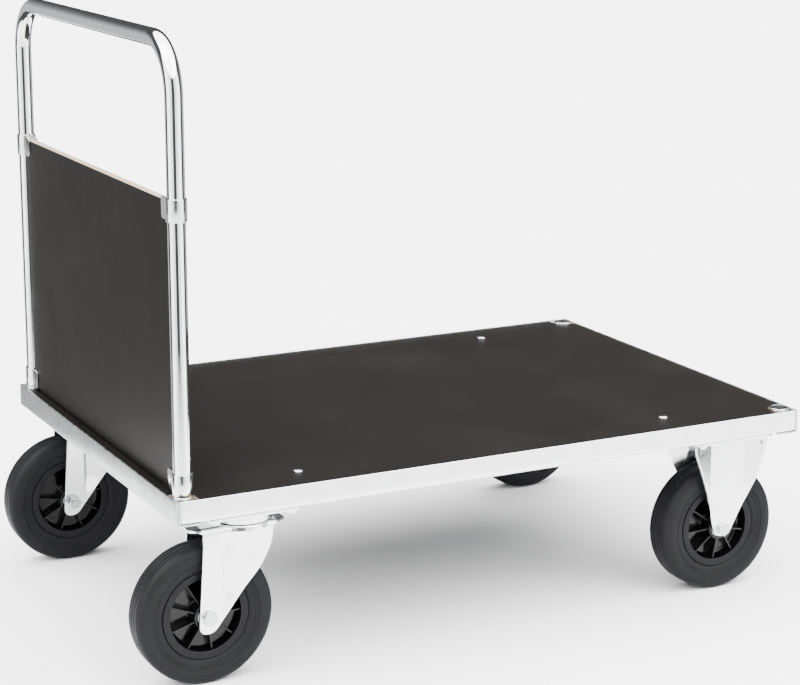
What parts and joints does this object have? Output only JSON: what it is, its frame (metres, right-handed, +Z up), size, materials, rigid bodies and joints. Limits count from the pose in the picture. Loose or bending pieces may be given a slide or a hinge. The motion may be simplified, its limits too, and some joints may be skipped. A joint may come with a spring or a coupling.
{
  "type": "platform trolley",
  "caption": "Platform trolley: plywood deck in a zinc-plated steel frame, plug-in tubular push handle with a solid end panel, fixed and swivelling casters with solid rubber tyres.",
  "frame": {"origin": "on the floor, below the middle of the whole trolley", "axes": "+X along the trolley from the handle end to the free end, +Y to the pusher's left, +Z up"},
  "size_m": [1.066, 0.7, 0.9055],
  "materials": {
    "zinc_bright": "bright zinc plating, smooth with a soft sheen",
    "zinc_matt": "zinc plating, duller and slightly mottled",
    "chrome_tube": "bright chrome plating, mirror-like",
    "film_plywood": "dark brown phenolic film, smooth satin",
    "rubber_tyre": "dark grey solid rubber, matt",
    "rim_plastic": "black moulded plastic, glossy",
    "bearing_steel": "machined steel",
    "seal_plastic": "dark moulded plastic, matt"
  },
  "bodies": {
    "platform": {"deck_board": "film_plywood", "end_panel": "film_plywood", "handle_tube": "chrome_tube", "end_rail_rear": "zinc_matt", "end_rail_front": "zinc_matt", "cross_member_rear": "zinc_matt", "cross_member_front": "zinc_matt", "side_rail_left": "zinc_bright", "corner_socket_rear_left": "zinc_bright", "deck_bolt_rear_left": "zinc_bright", "corner_socket_front_left": "zinc_bright", "deck_bolt_front_left": "zinc_bright", "panel_clamp_lower_left": "zinc_matt", "panel_clamp_upper_left": "zinc_matt", "top_plate_rear_left": "zinc_bright", "kingpin_rear_left": "bearing_steel", "fixed_bracket_front_left": "zinc_bright", "side_rail_right": "zinc_bright", "corner_socket_rear_right": "zinc_bright", "deck_bolt_rear_right": "zinc_bright", "corner_socket_front_right": "zinc_bright", "deck_bolt_front_right": "zinc_bright", "panel_clamp_lower_right": "zinc_matt", "panel_clamp_upper_right": "zinc_matt", "top_plate_rear_right": "zinc_bright", "kingpin_rear_right": "bearing_steel", "fixed_bracket_front_right": "zinc_bright", "axle_bolt_front_left": "zinc_bright", "axle_nut_front_left": "zinc_bright", "axle_tube_front_left": "bearing_steel", "axle_bolt_front_right": "zinc_bright", "axle_nut_front_right": "zinc_bright", "axle_tube_front_right": "bearing_steel"},
    "swivel_left": {"swivel_fork_rear_left": "zinc_bright", "ball_race_rear_left": "bearing_steel", "dust_ring_rear_left": "seal_plastic", "axle_bolt_rear_left": "zinc_bright", "axle_nut_rear_left": "zinc_bright", "axle_tube_rear_left": "bearing_steel"},
    "wheel_rear_left": {"wheel_rim_rear_left": "rim_plastic", "tyre_rear_left": "rubber_tyre", "roller_bearing_rear_left": "bearing_steel"},
    "wheel_front_left": {"wheel_rim_front_left": "rim_plastic", "tyre_front_left": "rubber_tyre", "roller_bearing_front_left": "bearing_steel"},
    "swivel_right": {"swivel_fork_rear_right": "zinc_bright", "ball_race_rear_right": "bearing_steel", "dust_ring_rear_right": "seal_plastic", "axle_bolt_rear_right": "zinc_bright", "axle_nut_rear_right": "zinc_bright", "axle_tube_rear_right": "bearing_steel"},
    "wheel_rear_right": {"wheel_rim_rear_right": "rim_plastic", "tyre_rear_right": "rubber_tyre", "roller_bearing_rear_right": "bearing_steel"},
    "wheel_front_right": {"wheel_rim_front_right": "rim_plastic", "tyre_front_right": "rubber_tyre", "roller_bearing_front_right": "bearing_steel"}
  },
  "joints": [
    {"name": "swivel_turn_left", "type": "hinge", "parent": "platform", "child": "swivel_left", "pos_m": [-0.3695, 0.292, 0.22], "axis": [0, 0, 1], "continuous": true},
    {"name": "wheel_spin_rear_left", "type": "hinge", "parent": "swivel_left", "child": "wheel_rear_left", "pos_m": [-0.433, 0.292, 0.1], "axis": [0, 1, 0], "continuous": true},
    {"name": "wheel_spin_front_left", "type": "hinge", "parent": "platform", "child": "wheel_front_left", "pos_m": [0.415, 0.292, 0.1], "axis": [0, 1, 0], "continuous": true},
    {"name": "swivel_turn_right", "type": "hinge", "parent": "platform", "child": "swivel_right", "pos_m": [-0.3695, -0.292, 0.22], "axis": [0, 0, 1], "continuous": true},
    {"name": "wheel_spin_rear_right", "type": "hinge", "parent": "swivel_right", "child": "wheel_rear_right", "pos_m": [-0.433, -0.292, 0.1], "axis": [0, 1, 0], "continuous": true},
    {"name": "wheel_spin_front_right", "type": "hinge", "parent": "platform", "child": "wheel_front_right", "pos_m": [0.415, -0.292, 0.1], "axis": [0, 1, 0], "continuous": true}
  ]
}
